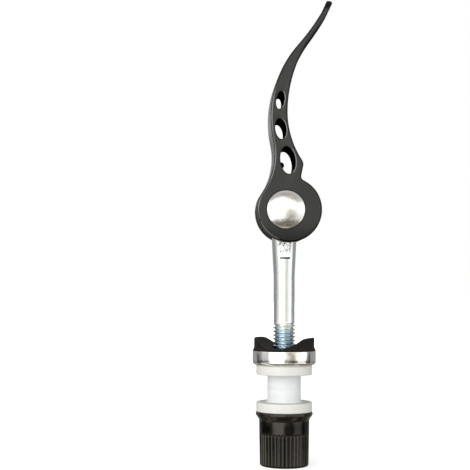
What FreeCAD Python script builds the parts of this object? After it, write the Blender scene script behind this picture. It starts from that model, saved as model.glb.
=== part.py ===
"""Quick release seatpost clamp: a forked cam lever pinned to an eye bolt, with a saddle washer in its cup,
two flanged bushes and a fluted cap nut stacked on the bolt.

The frame stands on the nut: the origin is the middle of the nut's foot, +Z runs up the bolt, the pivot pin
lies along Y and the lever bends in the XZ plane. Lengths are millimetres, angles are degrees.
"""
import FreeCAD
import Part
import math
import os
import Sketcher

Vector = FreeCAD.Vector

SIZES = {
    # eye bolt, measured from the pivot
    "thread_diameter": 6.0,
    "shank_diameter": 5.65,
    "bolt_reach": 61.4,
    "thread_length": 31.0,
    "thread_runout": 0.5,
    "bolt_end_chamfer": 0.8,
    "neck_drop": 17.5,
    "neck_diameter": 6.6,
    "flat_drop": 12.6,
    "flat_runout_angle": 50.0,
    "eye_thickness": 5.6,
    "eye_diameter": 11.0,
    # pivot pin
    "pin_diameter": 6.0,
    "pin_running_gap": 0.05,
    "pin_seat_gap": 0.02,
    "dome_diameter": 10.0,
    "dome_sink": 0.6,
    "dome_rim": 0.8,
    "dome_rise": 1.6,
    "dome_ring_gap": 0.25,
    "tail_diameter": 8.0,
    "tail_flat_diameter": 5.2,
    "tail_rim": 0.3,
    "tail_rise": 0.8,
    # lever head
    "lever_depth": 12.0,
    "cam_radius": 8.6,
    "cam_offset": 1.0,
    "slot_side_gap": 0.2,
    "slot_end_gap": 0.35,
    # lever arm, as points sideways of and above the pivot that smooth arcs run through
    "heel_side": 4.6,
    "heel_rise": 11.5,
    "heel_undercut": 0.7,
    "heel_width": 0.32,
    "heel_height": 1.68,
    "waist_side": 0.47,
    "waist_rise": 26.55,
    "inner_turn_side": 7.43,
    "inner_turn_rise": 46.76,
    "tip_side": 12.69,
    "tip_rise": 55.0,
    "tip_thickness": 1.68,
    "tip_end_radius": 0.95,
    "tip_round": 0.65,
    "tip_corner_radius": 3.0,
    "outer_turn_side": 3.15,
    "outer_turn_rise": 43.6,
    "throat_side": 3.4,
    "throat_rise": 18.43,
    "back_root_angle": 30.5,
    "back_root_round": 8.0,
    "heel_root_round": 1.2,
    "lever_edge_break": 0.45,
    # oval holes through the arm, from the tip down
    "small_hole_side": -1.5,
    "small_hole_rise": 28.95,
    "small_hole_length": 4.6,
    "small_hole_width": 2.1,
    "small_hole_tilt": 81.0,
    "middle_hole_side": -1.38,
    "middle_hole_rise": 21.35,
    "middle_hole_length": 5.35,
    "middle_hole_width": 2.85,
    "middle_hole_tilt": 98.0,
    "large_hole_side": 0.52,
    "large_hole_rise": 13.05,
    "large_hole_length": 7.2,
    "large_hole_width": 3.95,
    "large_hole_tilt": 98.0,
    # saddle washer
    "saddle_diameter": 16.2,
    "saddle_height": 3.5,
    "saddle_skirt_height": 0.9,
    "saddle_valley_height": 0.45,
    "saddle_cam_gap": 0.3,
    "saddle_edge_break": 0.25,
    "horn_round": 2.2,
    "saddle_turn": -22.0,
    # thrust cup
    "cup_diameter": 17.0,
    "cup_height": 3.9,
    "cup_wall": 0.9,
    "cup_floor": 1.2,
    "cup_edge_break": 0.8,
    "saddle_cup_gap": 0.1,
    "washer_bolt_gap": 0.25,
    # bushes
    "bush_diameter": 15.0,
    "bush_flange": 2.6,
    "bush_neck_diameter": 9.0,
    "bush_neck": 3.67,
    "bush_bolt_gap": 0.2,
    "bush_edge_break": 0.25,
    # cap nut
    "nut_height": 14.6,
    "nut_collar_diameter": 15.4,
    "nut_collar_lip": 0.6,
    "nut_collar_flare": 1.4,
    "nut_flare_knee_out": 0.3,
    "nut_flare_knee_rise": 0.75,
    "nut_top_diameter": 13.5,
    "nut_foot_diameter": 13.1,
    "nut_foot_break": 0.6,
    "nut_floor": 2.6,
    "flute_count": 42,
    "flute_width": 0.75,
    "flute_depth": 0.3,
    "flute_top": 9.0,
    # threaded insert
    "insert_across_flats": 10.0,
    "insert_height": 7.2,
    "insert_sink": 0.2,
    "insert_shell_gap": 0.02,
    "thread_gap": 0.05,
}

doc = FreeCAD.newDocument("seatpost_clamp")
sheet = doc.addObject("Spreadsheet::Sheet", "Sizes")
for row, (alias, value) in enumerate(SIZES.items(), start=1):
    sheet.set(f"A{row}", alias)
    sheet.set(f"B{row}", str(value))
    sheet.setAlias(f"B{row}", alias)
doc.recompute()


def value_of(expression):
    """The number that an expression over the sheet gives now."""
    return float(sheet.evalExpression(expression))


def new_body(label):
    body = doc.addObject("PartDesign::Body", label)
    body.Label = label
    return body


def new_sketch(body, role):
    """A sketch on one of the body's own origin planes."""
    sketch = body.newObject("Sketcher::SketchObject", f"{body.Name}_sketch")
    plane = next(f for f in body.Origin.OriginFeatures if f.Role == role)
    sketch.AttachmentSupport = (plane, [""])
    sketch.MapMode = "FlatFace"
    return sketch


def bind(sketch, constraint, expression):
    """Adds a constraint whose value follows the sheet."""
    index = sketch.addConstraint(constraint)
    name = f"size_{index}"
    sketch.renameConstraint(index, name)
    sketch.setExpression(f"Constraints.{name}", expression)


def place_point(sketch, geometry, end, across, up):
    """Fixes a point of the sketch by two expressions; "0" puts it on the axis."""
    if across == "0":
        sketch.addConstraint(Sketcher.Constraint("PointOnObject", geometry, end, -2))
    else:
        rule = Sketcher.Constraint("DistanceX", -1, 1, geometry, end, value_of(across))
        bind(sketch, rule, across)
    if up == "0":
        sketch.addConstraint(Sketcher.Constraint("PointOnObject", geometry, end, -1))
    else:
        rule = Sketcher.Constraint("DistanceY", -1, 1, geometry, end, value_of(up))
        bind(sketch, rule, up)


def arc_between(start, end, radius, left):
    """An arc from start to end that turns left or right."""
    chord = end - start
    middle = (start + end) * 0.5
    reach = math.sqrt(radius**2 - (chord.Length / 2) ** 2)
    side = Vector(-chord.y, chord.x, 0).normalize() * (reach if left else -reach)
    centre = middle + side
    circle = Part.Circle(centre, Vector(0, 0, 1), radius)
    first, last = (start, end) if left else (end, start)
    return Part.ArcOfCircle(circle, circle.parameter(first), circle.parameter(last))


def draw_outline(sketch, corners):
    """A closed outline. Each corner is (across, up), or (across, up, "left" or "right", radius) where an arc
    that turns that way leads to the next corner. An arc with no radius leaves the piece before it smoothly."""
    points = [Vector(value_of(c[0]), value_of(c[1]), 0) for c in corners]
    ends = []
    heading = None
    for i, corner in enumerate(corners):
        start, end = points[i], points[(i + 1) % len(points)]
        chord = end - start
        if len(corner) == 2:
            geometry = sketch.addGeometry(Part.LineSegment(start, end), False)
            ends.append((geometry, 1, 2))
            heading = chord
            continue
        left = corner[2] == "left"
        if len(corner) == 4:
            radius = value_of(corner[3])
        else:
            radius = chord.Length / (2 * math.sin(heading.getAngle(chord)))
        geometry = sketch.addGeometry(arc_between(start, end, radius, left), False)
        ends.append((geometry, 1, 2) if left else (geometry, 2, 1))
        if len(corner) == 4:
            bind(sketch, Sketcher.Constraint("Radius", geometry, radius), corner[3])
        half_turn = math.degrees(math.asin(chord.Length / (2 * radius)))
        heading = FreeCAD.Rotation(Vector(0, 0, 1), half_turn if left else -half_turn).multVec(chord)
    for i, (geometry, first, _) in enumerate(ends):
        place_point(sketch, geometry, first, corners[i][0], corners[i][1])
        before, _, before_last = ends[i - 1]
        meeting = "Tangent" if len(corners[i]) == 3 else "Coincident"
        sketch.addConstraint(Sketcher.Constraint(meeting, before, before_last, geometry, first))


def draw_circle(sketch, across, up, radius):
    circle = Part.Circle(Vector(value_of(across), value_of(up), 0), Vector(0, 0, 1), value_of(radius))
    geometry = sketch.addGeometry(circle, False)
    place_point(sketch, geometry, 3, across, up)
    bind(sketch, Sketcher.Constraint("Radius", geometry, value_of(radius)), radius)


def draw_oval(sketch, name):
    """The ellipse of one of the arm's holes, from the sheet's five values for it."""
    side, rise, length, width, tilt = (
        f"Sizes.{name}_{what}" for what in ("side", "rise", "length", "width", "tilt")
    )
    centre = Vector(value_of(side), value_of(rise), 0)
    angle = math.radians(value_of(tilt))
    along = Vector(math.cos(angle), math.sin(angle), 0)
    aside = Vector(-along.y, along.x, 0)
    half_length, half_width = value_of(length) / 2, value_of(width) / 2
    ellipse = Part.Ellipse(centre + along * half_length, centre + aside * half_width, centre)
    geometry = sketch.addGeometry(ellipse, False)
    sketch.exposeInternalGeometry(geometry)
    major, minor = geometry + 1, geometry + 2
    place_point(sketch, geometry, 3, side, rise)
    bind(sketch, Sketcher.Constraint("Distance", major, 2 * half_length), length)
    bind(sketch, Sketcher.Constraint("Distance", minor, 2 * half_width), width)
    bind(sketch, Sketcher.Constraint("Angle", major, angle), f"{tilt} * 1 deg")


def revolve(body, sketch, axis="V_Axis"):
    feature = body.newObject("PartDesign::Revolution", f"{body.Name}_revolution")
    feature.Profile = sketch
    feature.ReferenceAxis = (sketch, [axis])
    feature.Angle = 360
    return feature


def extrude(body, sketch, kind, length, symmetric=True, flip=False):
    """A Pad or Pocket whose length follows the sheet. A pocket has to take material away."""
    before = 0.0
    if kind == "Pocket":
        doc.recompute()
        before = body.Shape.Volume
    feature = body.newObject(f"PartDesign::{kind}", f"{body.Name}_{kind.lower()}")
    feature.Profile = sketch
    feature.SideType = "Symmetric" if symmetric else "One side"
    feature.Reversed = flip
    feature.setExpression("Length", length)
    doc.recompute()
    if kind == "Pocket" and body.Shape.Volume > before - 1e-6:
        raise RuntimeError(f"{feature.Name} cuts nothing")
    return feature


def dress_edges(body, kind, wanted, length):
    """A Fillet or Chamfer on each edge of the body for which wanted(edge) holds."""
    doc.recompute()
    base = body.Tip
    names = [f"Edge{i}" for i, edge in enumerate(base.Shape.Edges, start=1) if wanted(edge)]
    feature = body.newObject(f"PartDesign::{kind}", f"{body.Name}_{kind.lower()}")
    feature.Base = (base, names)
    feature.setExpression("Radius" if kind == "Fillet" else "Size", length)
    return feature


def round_across(body, side, rise, radius):
    """Rounds the edge that runs across the lever at a point of its outline."""
    at_side, at_rise = value_of(side), value_of(rise)
    dress_edges(
        body,
        "Fillet",
        lambda edge: edge.BoundBox.YLength > 1e-4
        and math.hypot(edge.BoundBox.XMin - at_side, edge.BoundBox.ZMin - at_rise) < 1e-3,
        radius,
    )


def stand_at(body, height):
    """Puts a body's own zero at a height above the nut's foot."""
    body.setExpression("Placement.Base.z", height)


# Heights of the seats in the stack, from the nut's foot upward.
LOWER_BUSH_SEAT = "Sizes.nut_height"
UPPER_BUSH_TOP = f"{LOWER_BUSH_SEAT} + 2 * (Sizes.bush_flange + Sizes.bush_neck)"
CUP_RIM = f"{UPPER_BUSH_TOP} + Sizes.cup_height"
INSERT_SEAT = "Sizes.nut_height - Sizes.insert_sink - Sizes.insert_height"
PIVOT = f"{INSERT_SEAT} + Sizes.bolt_reach"


def make_cam_lever():
    """The lever in its own frame, with the pivot at zero: an eccentric head, the S-shaped arm, the fork slot
    that lets the bolt swing to both sides, and the oval holes."""
    body = new_body("cam_lever")
    # the head's circle meets the arm at the heel on one side and runs out of the arm's back on the other
    heel_root_side = "(Sizes.heel_side - Sizes.heel_undercut)"
    heel_root = f"sqrt(Sizes.cam_radius ^ 2 - ({heel_root_side} - Sizes.cam_offset) ^ 2)"
    back_root_side = "Sizes.cam_offset - Sizes.cam_radius * cos(Sizes.back_root_angle * 1 deg)"
    back_root_rise = "Sizes.cam_radius * sin(Sizes.back_root_angle * 1 deg)"
    outline = new_sketch(body, "XZ_Plane")
    draw_outline(outline, [
        ("Sizes.cam_offset", "-Sizes.cam_radius", "left", "Sizes.cam_radius"),
        (heel_root_side, heel_root),
        ("Sizes.heel_side", "Sizes.heel_rise", "left"),
        ("Sizes.heel_side - Sizes.heel_width", "Sizes.heel_rise + Sizes.heel_height", "right"),
        ("Sizes.waist_side", "Sizes.waist_rise", "right"),
        ("Sizes.inner_turn_side", "Sizes.inner_turn_rise", "left"),
        ("Sizes.tip_side", "Sizes.tip_rise", "left", "Sizes.tip_end_radius"),
        ("Sizes.tip_side - Sizes.tip_thickness", "Sizes.tip_rise", "right"),
        ("Sizes.outer_turn_side", "Sizes.outer_turn_rise", "left"),
        ("-Sizes.throat_side", "Sizes.throat_rise", "right"),
        (back_root_side, back_root_rise, "left", "Sizes.cam_radius"),
    ])
    extrude(body, outline, "Pad", "Sizes.lever_depth")
    round_across(body, heel_root_side, heel_root, "Sizes.heel_root_round")
    round_across(body, back_root_side, back_root_rise, "Sizes.back_root_round")
    round_across(body, "Sizes.tip_side", "Sizes.tip_rise", "Sizes.tip_round")
    half_depth = "Sizes.lever_depth / 2"
    face = value_of(half_depth)
    dress_edges(
        body,
        "Chamfer",
        lambda edge: edge.BoundBox.YLength < 1e-4 and abs(abs(edge.BoundBox.YMin) - face) < 1e-4,
        "Sizes.lever_edge_break",
    )

    above_tip = "Sizes.tip_rise + Sizes.tip_end_radius"
    corners = new_sketch(body, "YZ_Plane")
    for sign, turn in (("", "left"), ("-", "right")):
        draw_outline(corners, [
            (f"{sign}({half_depth})", f"{above_tip} - Sizes.tip_corner_radius", turn, "Sizes.tip_corner_radius"),
            (f"{sign}({half_depth} - Sizes.tip_corner_radius)", above_tip),
            (f"{sign}({half_depth})", above_tip),
        ])
    extrude(body, corners, "Pocket", "4 * Sizes.tip_side")

    eye_room = new_sketch(body, "XZ_Plane")
    draw_circle(eye_room, "0", "0", "Sizes.eye_diameter / 2 + Sizes.slot_end_gap")
    slot_width = "Sizes.eye_thickness + 2 * Sizes.slot_side_gap"
    extrude(body, eye_room, "Pocket", slot_width)
    swing_room = new_sketch(body, "XZ_Plane")
    beside = "Sizes.cam_radius + Sizes.cam_offset"
    draw_outline(swing_room, [
        (f"-({beside})", f"-({beside})"),
        (beside, f"-({beside})"),
        (beside, "Sizes.neck_diameter / 2 + Sizes.slot_end_gap"),
        (f"-({beside})", "Sizes.neck_diameter / 2 + Sizes.slot_end_gap"),
    ])
    extrude(body, swing_room, "Pocket", slot_width)

    bore = new_sketch(body, "XZ_Plane")
    draw_circle(bore, "0", "0", "Sizes.pin_diameter / 2 + Sizes.pin_seat_gap")
    extrude(body, bore, "Pocket", "2 * Sizes.lever_depth")
    seat = new_sketch(body, "XZ_Plane")
    draw_circle(seat, "0", "0", "Sizes.dome_diameter / 2 + Sizes.dome_ring_gap")
    seat.setExpression("AttachmentOffset.Base.z", f"{half_depth} - Sizes.dome_sink")
    extrude(body, seat, "Pocket", "Sizes.lever_depth", symmetric=False, flip=True)

    for hole in ("small_hole", "middle_hole", "large_hole"):
        oval = new_sketch(body, "XZ_Plane")
        draw_oval(oval, hole)
        extrude(body, oval, "Pocket", "2 * Sizes.lever_depth")
    stand_at(body, PIVOT)
    return body


def make_pivot_pin():
    """The cross pin: a low dome in front, sunk in its seat, and a tail peened over behind."""
    body = new_body("pivot_pin")
    profile = new_sketch(body, "YZ_Plane")
    seat = "-(Sizes.lever_depth / 2 - Sizes.dome_sink)"
    rim = f"{seat} - Sizes.dome_rim"
    dome_half = "(Sizes.dome_diameter / 2)"
    dome_radius = f"({dome_half} ^ 2 + Sizes.dome_rise ^ 2) / (2 * Sizes.dome_rise)"
    back = "Sizes.lever_depth / 2"
    tail_half = "Sizes.tail_diameter / 2"
    tail_end = f"{back} + Sizes.tail_rim + Sizes.tail_rise"
    draw_outline(profile, [
        (f"{rim} - Sizes.dome_rise", "0", "right", dome_radius),
        (rim, dome_half),
        (seat, dome_half),
        (seat, "Sizes.pin_diameter / 2"),
        (back, "Sizes.pin_diameter / 2"),
        (back, tail_half),
        (f"{back} + Sizes.tail_rim", tail_half),
        (tail_end, "Sizes.tail_flat_diameter / 2"),
        (tail_end, "0"),
    ])
    revolve(body, profile, "H_Axis")
    stand_at(body, PIVOT)
    return body


def make_eye_bolt():
    """The bolt in its own frame, with the pivot at zero: thread and shank, the neck that widens to the eye,
    and the two pressed flats that run out on the neck in a short slope."""
    body = new_body("eye_bolt")
    profile = new_sketch(body, "XZ_Plane")
    thread = "Sizes.thread_diameter / 2"
    shank = "Sizes.shank_diameter / 2"
    end = "-Sizes.bolt_reach"
    draw_outline(profile, [
        ("0", end),
        (f"{thread} - Sizes.bolt_end_chamfer", end),
        (thread, f"{end} + Sizes.bolt_end_chamfer"),
        (thread, f"{end} + Sizes.thread_length"),
        (shank, f"{end} + Sizes.thread_length + Sizes.thread_runout"),
        (shank, "-Sizes.neck_drop"),
        ("Sizes.neck_diameter / 2", "-Sizes.cam_radius + Sizes.slot_end_gap"),
        ("Sizes.neck_diameter / 2", "-Sizes.pin_diameter / 2"),
        ("0", "-Sizes.pin_diameter / 2"),
    ])
    revolve(body, profile)

    flats = new_sketch(body, "YZ_Plane")
    flat = "Sizes.eye_thickness / 2"
    runout = f"-Sizes.flat_drop - {flat} * tan(Sizes.flat_runout_angle * 1 deg)"
    for sign in ("", "-"):
        draw_outline(flats, [
            (f"{sign}({flat})", "-Sizes.flat_drop"),
            (f"{sign}(Sizes.eye_thickness)", runout),
            (f"{sign}(Sizes.eye_thickness)", "Sizes.eye_diameter"),
            (f"{sign}({flat})", "Sizes.eye_diameter"),
        ])
    extrude(body, flats, "Pocket", "2 * Sizes.eye_diameter")

    eye = new_sketch(body, "XZ_Plane")
    draw_circle(eye, "0", "0", "Sizes.eye_diameter / 2")
    extrude(body, eye, "Pad", "Sizes.eye_thickness")
    bore = new_sketch(body, "XZ_Plane")
    draw_circle(bore, "0", "0", "Sizes.pin_diameter / 2 + Sizes.pin_running_gap")
    extrude(body, bore, "Pocket", "2 * Sizes.eye_thickness")
    stand_at(body, PIVOT)
    return body


def make_cam_saddle():
    """The saddle washer: a spigot in the cup, a skirt over the rim and a valley of the cam's radius between
    two round-topped horns. It is free to turn in the cup and rests a little turned."""
    body = new_body("cam_saddle")
    bore = "Sizes.thread_diameter / 2 + Sizes.washer_bolt_gap"
    spigot = "Sizes.cup_diameter / 2 - Sizes.cup_wall - Sizes.saddle_cup_gap"
    spigot_end = "-(Sizes.cup_height - Sizes.cup_floor)"
    top = "Sizes.saddle_height"
    profile = new_sketch(body, "XZ_Plane")
    draw_outline(profile, [
        (bore, spigot_end),
        (spigot, spigot_end),
        (spigot, "0"),
        ("Sizes.cup_diameter / 2", "0"),
        ("Sizes.saddle_diameter / 2", "Sizes.saddle_skirt_height"),
        ("Sizes.saddle_diameter / 2", top),
        (bore, top),
    ])
    revolve(body, profile)
    valley = new_sketch(body, "XZ_Plane")
    radius = "Sizes.cam_radius + Sizes.saddle_cam_gap"
    draw_circle(valley, "0", f"Sizes.saddle_valley_height + {radius}", radius)
    extrude(body, valley, "Pocket", "2 * Sizes.cup_diameter")
    horn_top = value_of(top)
    for kind, curve, size in (
        ("Fillet", "Part::GeomLine", "Sizes.horn_round"),
        ("Chamfer", "Part::GeomCircle", "Sizes.saddle_edge_break"),
    ):
        dress_edges(
            body,
            kind,
            lambda edge: edge.Curve.TypeId == curve
            and abs(edge.BoundBox.ZMin - horn_top) < 1e-4
            and edge.BoundBox.ZLength < 1e-4,
            size,
        )
    body.setExpression("Placement.Rotation.Angle", "Sizes.saddle_turn * 1 deg")
    stand_at(body, CUP_RIM)
    return body


def make_thrust_cup():
    """The drawn steel cup, open at the top, with its lower edge turned in."""
    body = new_body("thrust_cup")
    outer = "Sizes.cup_diameter / 2"
    inner = f"{outer} - Sizes.cup_wall"
    bore = "Sizes.thread_diameter / 2 + Sizes.washer_bolt_gap"
    profile = new_sketch(body, "XZ_Plane")
    draw_outline(profile, [
        (bore, "0"),
        (f"{outer} - Sizes.cup_edge_break", "0"),
        (outer, "Sizes.cup_edge_break"),
        (outer, "Sizes.cup_height"),
        (inner, "Sizes.cup_height"),
        (inner, "Sizes.cup_floor"),
        (bore, "Sizes.cup_floor"),
    ])
    revolve(body, profile)
    stand_at(body, UPPER_BUSH_TOP)
    return body


def make_bush(label):
    """A flanged bush, flange down, with its neck up."""
    body = new_body(label)
    bore = "Sizes.thread_diameter / 2 + Sizes.bush_bolt_gap"
    outer = "Sizes.bush_diameter / 2"
    flange = "Sizes.bush_flange"
    bevel = "Sizes.bush_edge_break"
    profile = new_sketch(body, "XZ_Plane")
    draw_outline(profile, [
        (bore, "0"),
        (f"{outer} - {bevel}", "0"),
        (outer, bevel),
        (outer, f"{flange} - {bevel}"),
        (f"{outer} - {bevel}", flange),
        ("Sizes.bush_neck_diameter / 2", flange),
        ("Sizes.bush_neck_diameter / 2", f"{flange} + Sizes.bush_neck"),
        (bore, f"{flange} + Sizes.bush_neck"),
    ])
    revolve(body, profile)
    return body


def make_lower_bush():
    body = make_bush("lower_bush")
    stand_at(body, LOWER_BUSH_SEAT)
    return body


def make_upper_bush():
    body = make_bush("upper_bush")
    body.Placement = FreeCAD.Placement(Vector(0, 0, 0), FreeCAD.Rotation(Vector(1, 0, 0), 180))
    stand_at(body, UPPER_BUSH_TOP)
    return body


def make_nut_shell():
    """The cap nut: a tapered body with a flared collar, flutes that narrow at the top, and a hexagon pocket over
    the room for the bolt's end."""
    body = new_body("nut_shell")
    foot = "Sizes.nut_foot_diameter / 2"
    bevel = "Sizes.nut_foot_break"
    shoulder = "Sizes.nut_top_diameter / 2"
    collar = "Sizes.nut_collar_diameter / 2"
    lip = "Sizes.nut_height - Sizes.nut_collar_lip"
    flare = f"{lip} - Sizes.nut_collar_flare"
    profile = new_sketch(body, "XZ_Plane")
    draw_outline(profile, [
        ("0", "0"),
        (f"{foot} - {bevel}", "0"),
        (foot, bevel),
        (shoulder, flare),
        (f"{shoulder} + Sizes.nut_flare_knee_out", f"{flare} + Sizes.nut_flare_knee_rise"),
        (collar, lip),
        (f"{collar} - Sizes.nut_collar_lip", "Sizes.nut_height"),
        ("0", "Sizes.nut_height"),
    ])
    revolve(body, profile)

    taper = "atan((Sizes.nut_top_diameter - Sizes.nut_foot_diameter) / (2 * Sizes.nut_height))"
    half_width = "Sizes.flute_width / 2"
    arch = f"Sizes.flute_top - {half_width}"
    flute = new_sketch(body, "XZ_Plane")
    flute.AttachmentOffset = FreeCAD.Placement(Vector(), FreeCAD.Rotation(Vector(1, 0, 0), 1))
    flute.setExpression("AttachmentOffset.Base.z", f"{foot} - Sizes.flute_depth")
    flute.setExpression("AttachmentOffset.Rotation.Angle", taper)
    draw_outline(flute, [
        (f"-{half_width}", f"-{bevel}"),
        (half_width, f"-{bevel}"),
        (half_width, arch),
        ("0", "Sizes.flute_top"),
        (f"-{half_width}", arch),
    ])
    groove = extrude(body, flute, "Pocket", "4 * Sizes.flute_depth", symmetric=False, flip=True)
    ring = body.newObject("PartDesign::PolarPattern", "flute_ring")
    ring.Originals = [groove]
    ring.Axis = (next(f for f in body.Origin.OriginFeatures if f.Role == "Z_Axis"), [""])
    ring.Angle = 360
    ring.setExpression("Occurrences", "Sizes.flute_count")
    body.Tip = ring

    bore = new_sketch(body, "XY_Plane")
    bore.setExpression("AttachmentOffset.Base.z", "Sizes.nut_floor")
    draw_circle(bore, "0", "0", "Sizes.thread_diameter / 2 + Sizes.washer_bolt_gap")
    extrude(body, bore, "Pocket", "Sizes.nut_height", symmetric=False, flip=True)
    pocket = new_sketch(body, "XY_Plane")
    pocket.setExpression("AttachmentOffset.Base.z", INSERT_SEAT)
    draw_hexagon(pocket, "Sizes.insert_across_flats / 2 + Sizes.insert_shell_gap")
    extrude(body, pocket, "Pocket", "Sizes.nut_height", symmetric=False, flip=True)
    return body


def draw_hexagon(sketch, flat):
    """A hexagon with a corner on each side along X, from its centre to a flat."""
    corner = f"2 * ({flat}) / sqrt(3)"
    draw_outline(sketch, [
        (corner, "0"),
        (f"({corner}) / 2", flat),
        (f"-({corner}) / 2", flat),
        (f"-({corner})", "0"),
        (f"-({corner}) / 2", f"-({flat})"),
        (f"({corner}) / 2", f"-({flat})"),
    ])


def make_nut_insert():
    """The threaded hexagon insert that the shell turns on the bolt."""
    body = new_body("nut_insert")
    outline = new_sketch(body, "XY_Plane")
    draw_hexagon(outline, "Sizes.insert_across_flats / 2")
    extrude(body, outline, "Pad", "Sizes.insert_height", symmetric=False)
    bore = new_sketch(body, "XY_Plane")
    draw_circle(bore, "0", "0", "Sizes.thread_diameter / 2 + Sizes.thread_gap")
    extrude(body, bore, "Pocket", "4 * Sizes.insert_height")
    stand_at(body, INSERT_SEAT)
    return body


pieces = [
    make_cam_lever(),
    make_pivot_pin(),
    make_eye_bolt(),
    make_cam_saddle(),
    make_thrust_cup(),
    make_upper_bush(),
    make_lower_bush(),
    make_nut_shell(),
    make_nut_insert(),
]
doc.recompute()

for item in doc.Objects:
    if "Invalid" in item.State or "Error" in item.State:
        raise RuntimeError(f"{item.Name} failed: {item.State}")
for piece in pieces:
    if piece.Shape.isNull() or not piece.Shape.isValid() or len(piece.Shape.Solids) != 1:
        raise RuntimeError(f"{piece.Label} is not one valid solid")

os.makedirs("parts", exist_ok=True)
for piece in pieces:
    piece.Shape.exportStep(f"parts/{piece.Label}.step")
    box = piece.Shape.BoundBox
    print(f"{piece.Label}: {piece.Shape.Volume:.1f} mm3, z {box.ZMin:.2f} to {box.ZMax:.2f}")
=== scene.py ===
import math

import bmesh
import bpy
from mathutils import Matrix, Vector


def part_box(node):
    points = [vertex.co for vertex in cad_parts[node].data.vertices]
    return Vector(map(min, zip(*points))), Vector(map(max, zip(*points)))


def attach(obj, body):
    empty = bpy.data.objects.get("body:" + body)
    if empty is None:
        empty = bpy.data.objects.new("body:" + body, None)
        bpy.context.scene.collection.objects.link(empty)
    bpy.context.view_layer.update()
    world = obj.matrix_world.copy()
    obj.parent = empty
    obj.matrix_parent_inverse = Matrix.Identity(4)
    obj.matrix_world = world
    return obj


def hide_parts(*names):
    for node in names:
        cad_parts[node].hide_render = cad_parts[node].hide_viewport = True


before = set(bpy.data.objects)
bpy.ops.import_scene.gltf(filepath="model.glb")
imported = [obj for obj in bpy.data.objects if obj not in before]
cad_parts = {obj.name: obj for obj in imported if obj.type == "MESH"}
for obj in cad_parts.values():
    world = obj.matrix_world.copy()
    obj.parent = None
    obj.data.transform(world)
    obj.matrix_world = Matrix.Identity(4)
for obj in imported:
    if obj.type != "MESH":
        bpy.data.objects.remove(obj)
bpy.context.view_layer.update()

# Eye bolt
# A forged steel eye bolt, zinc plated with a faint blue passivation. The eye is pressed flat, the flats end
# in a short slope on the neck, and the thread is rolled, so that its crests stand proud of the shank.
MM = 0.001
TOUCH = 0.001 * MM
THREAD_LENGTH = 31 * MM
THREAD_RUNOUT = 1.1 * MM
THREAD_PITCH = 1 * MM
THREAD_CREST = 3 * MM
THREAD_ROOT = 2.42 * MM
THREAD_COLUMNS = 72
ROWS_A_TURN = 12
BOLT_END_RADIUS = 2.2 * MM
SHANK_RADIUS = 2.825 * MM
SHANK_RISE = 0.52 * MM
THREAD_OVERLAP = 0.15 * MM
THREAD_SINK = 0.01 * MM
EYE_HALF = 2.8 * MM
PRESSED_SKIN = (56.9 * MM, 57.6 * MM)
PIT_SIZE = 0.55 * MM
SLOPE_FOOT = 55.6 * MM
SLOPE_TOP = 56.1 * MM
SLOPE_SOFT = 0.05 * MM
BLUE_FADE = 3 * MM
ZINC_BLUE = (0.53, 0.65, 0.72, 1)
ZINC_BRIGHT = (0.80, 0.83, 0.81, 1)
ZINC_DULL = (0.72, 0.76, 0.74, 1)
PIT_GREY = (0.30, 0.33, 0.32, 1)
# colour of the painted shade on the step where the eye's flats end
STEP_SHADE = (0.03, 0.04, 0.043, 1)
bolt_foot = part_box("eye_bolt")[0].z
thread_top = bolt_foot + THREAD_LENGTH
shank_start = thread_top + SHANK_RISE


def add_node(tree, kind, inputs=None, **settings):
    """A node with its settings, and its inputs by name or number as values or as sockets to link."""
    made = tree.nodes.new(kind)
    for name, value in settings.items():
        setattr(made, name, value)
    for name, value in (inputs or {}).items():
        socket = made.inputs[name]
        if isinstance(value, bpy.types.NodeSocket):
            tree.links.new(value, socket)
        else:
            socket.default_value = value
    return made


def reckon(tree, operation, first, second=0.0, third=0.0):
    """One step of arithmetic in a node tree, as its output socket."""
    inputs = {0: first, 1: second, 2: third}
    return add_node(tree, "ShaderNodeMath", inputs, operation=operation).outputs[0]


def times(tree, first, *others):
    """The product of some values in a node tree."""
    for other in others:
        first = reckon(tree, "MULTIPLY", first, other)
    return first


def reckon_vector(tree, operation, first, second=(0, 0, 0), result="Vector"):
    """One step of vector arithmetic in a node tree, as its vector or its value."""
    inputs = {0: first, 1: second}
    return add_node(tree, "ShaderNodeVectorMath", inputs, operation=operation).outputs[result]


def parts_of(tree, vector):
    """A vector's parts, by the names X, Y and Z."""
    return add_node(tree, "ShaderNodeSeparateXYZ", {"Vector": vector}).outputs


def ease(tree, value, low, high, to_low=0.0, to_high=1.0, kind="SMOOTHSTEP"):
    """A value spread from one range to another and held at its ends, softly unless the kind is linear."""
    inputs = {"Value": value, "From Min": low, "From Max": high, "To Min": to_low, "To Max": to_high}
    return add_node(tree, "ShaderNodeMapRange", inputs, interpolation_type=kind).outputs["Result"]


def spread(tree, share, low, high):
    """A range laid evenly over a share from zero to one."""
    return ease(tree, share, 0.0, 1.0, low, high, "LINEAR")


def band(tree, value, low, high, soft):
    """One between two bounds and zero outside them, with soft ends."""
    rise = ease(tree, value, low - soft, low + soft)
    return times(tree, rise, ease(tree, value, high - soft, high + soft, 1.0, 0.0))


def noise(tree, place, scale, detail, roughness=0.5):
    """Cloudy noise with a scale in spots to the unit, as its value."""
    inputs = {"Vector": place, "Scale": scale, "Detail": detail, "Roughness": roughness}
    return add_node(tree, "ShaderNodeTexNoise", inputs).outputs["Fac"]


def blend_colours(tree, share, first, second):
    return add_node(tree, "ShaderNodeMix", {0: share, 6: first, 7: second}, data_type="RGBA").outputs[2]


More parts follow.
